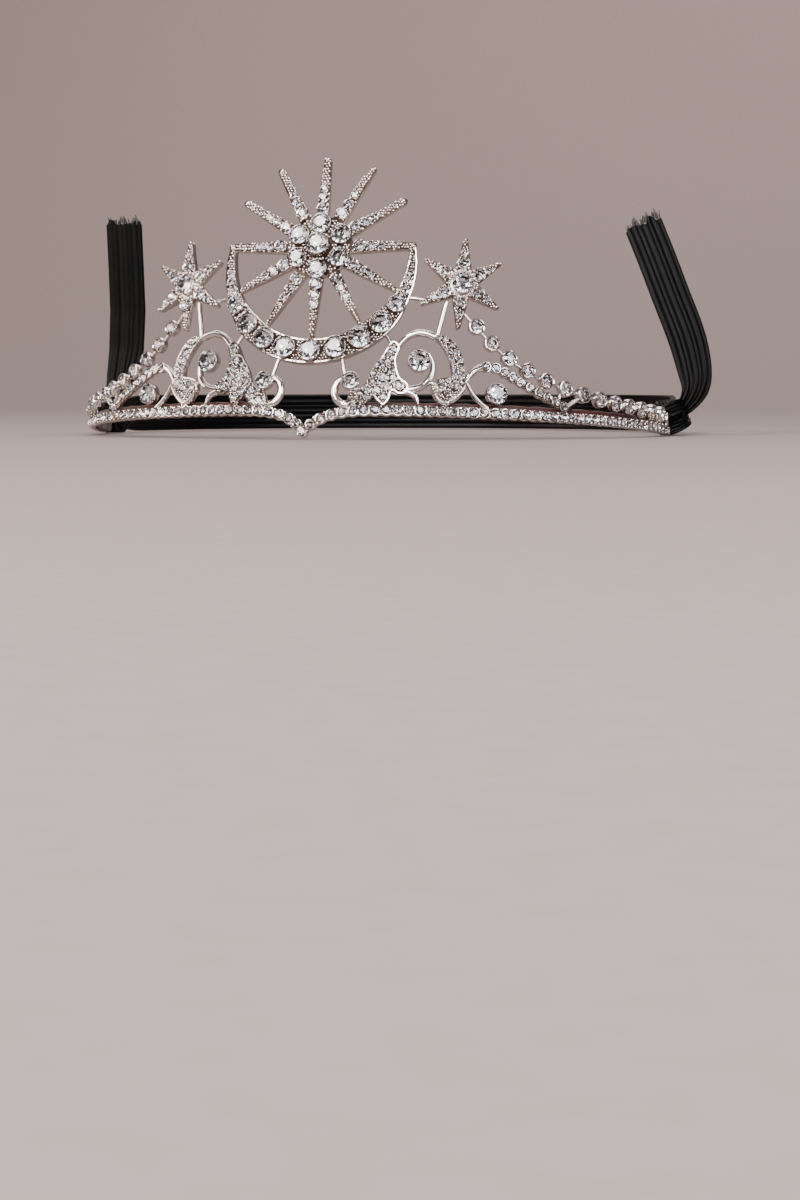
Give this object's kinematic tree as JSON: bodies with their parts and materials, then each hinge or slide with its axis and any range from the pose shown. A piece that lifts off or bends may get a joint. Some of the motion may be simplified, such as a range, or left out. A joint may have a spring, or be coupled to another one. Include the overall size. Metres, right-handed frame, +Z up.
{
  "type": "rhinestone tiara with elastic strap",
  "caption": "Metal tiara with a dipped band, a crescent under a rayed burst, scrolls, side stars and bezel chains, set with clear stones, with a tied flat elastic.",
  "frame": {"origin": "on the surface that the tiara stands on, under the middle of the box round its metalwork, stones and lining", "axes": "+Z up, -Y towards the front with the burst, +X towards the right end as seen from the front"},
  "size_m": [0.1759, 0.1738, 0.0721],
  "materials": {
    "metal": "bright rhodium-like plating on cast alloy",
    "stone": "clear faceted glass, foiled",
    "lining": "brown satin ribbon",
    "elastic": "black ribbed braid"
  },
  "bodies": {
    "root": {"burst_stone": "stone", "crescent_stone_0": "stone", "crescent_stone_l1": "stone", "crescent_stone_l2": "stone", "crescent_stone_l3": "stone", "crescent_stone_l4": "stone", "crescent_stone_r1": "stone", "crescent_stone_r2": "stone", "crescent_stone_r3": "stone", "crescent_stone_r4": "stone", "curl_stone_l": "stone", "curl_stone_r": "stone", "elastic_back": "elastic", "elastic_end_left": "elastic", "elastic_end_right": "elastic", "elastic_knot_left": "elastic", "elastic_knot_right": "elastic", "lining_left": "lining", "lining_right": "lining", "loop_stone_l": "stone", "loop_stone_r": "stone", "metal_frame": "metal", "ring_stone_1": "stone", "ring_stone_2": "stone", "ring_stone_3": "stone", "ring_stone_4": "stone", "ring_stone_5": "stone", "ring_stone_6": "stone", "spiral_stone_l": "stone", "spiral_stone_r": "stone", "star_stone_l": "stone", "star_stone_r": "stone"}
  },
  "joints": []
}
